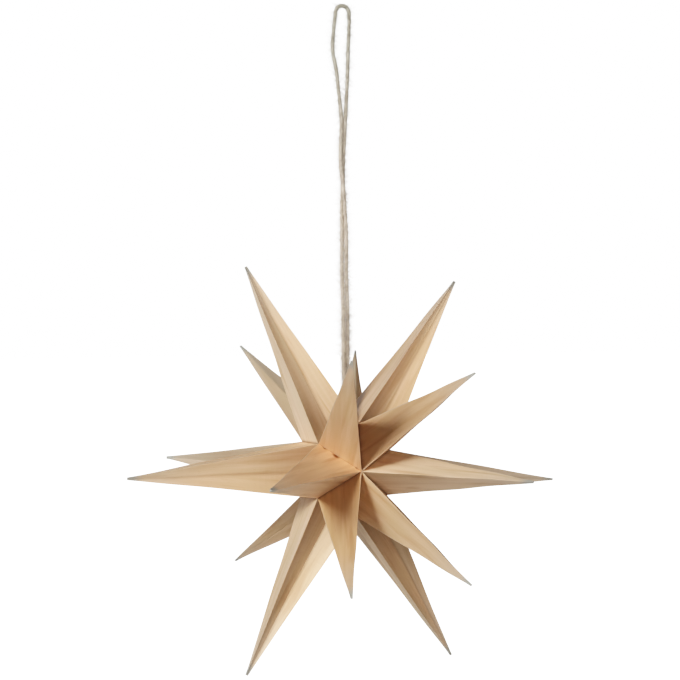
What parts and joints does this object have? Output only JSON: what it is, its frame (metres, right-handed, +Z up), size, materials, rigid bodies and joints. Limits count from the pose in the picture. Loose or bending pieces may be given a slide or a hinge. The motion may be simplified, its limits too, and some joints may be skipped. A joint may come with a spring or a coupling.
{
  "type": "hanging star ornament",
  "caption": "Spiky folded wood-veneer star with long tapering points all round, hanging from a doubled loop of natural twine.",
  "frame": {"origin": "where a hook carries the loop: the inner side of the twine's top bend, straight above the star's centre", "axes": "+Z up along the hanging twine, -Y along the star's axis towards its front pole, +X along the middle fold of segment 1"},
  "size_m": [0.1512, 0.1138, 0.2205],
  "materials": {
    "wood_veneer": "matt, fine straight grain",
    "twine": "rough, fuzzy natural fibre"
  },
  "bodies": {
    "root": {"star_segment_1": "wood_veneer", "star_segment_2": "wood_veneer", "star_segment_3": "wood_veneer", "star_segment_4": "wood_veneer", "star_segment_5": "wood_veneer", "star_segment_6": "wood_veneer", "twine_loop": "twine"}
  },
  "joints": []
}
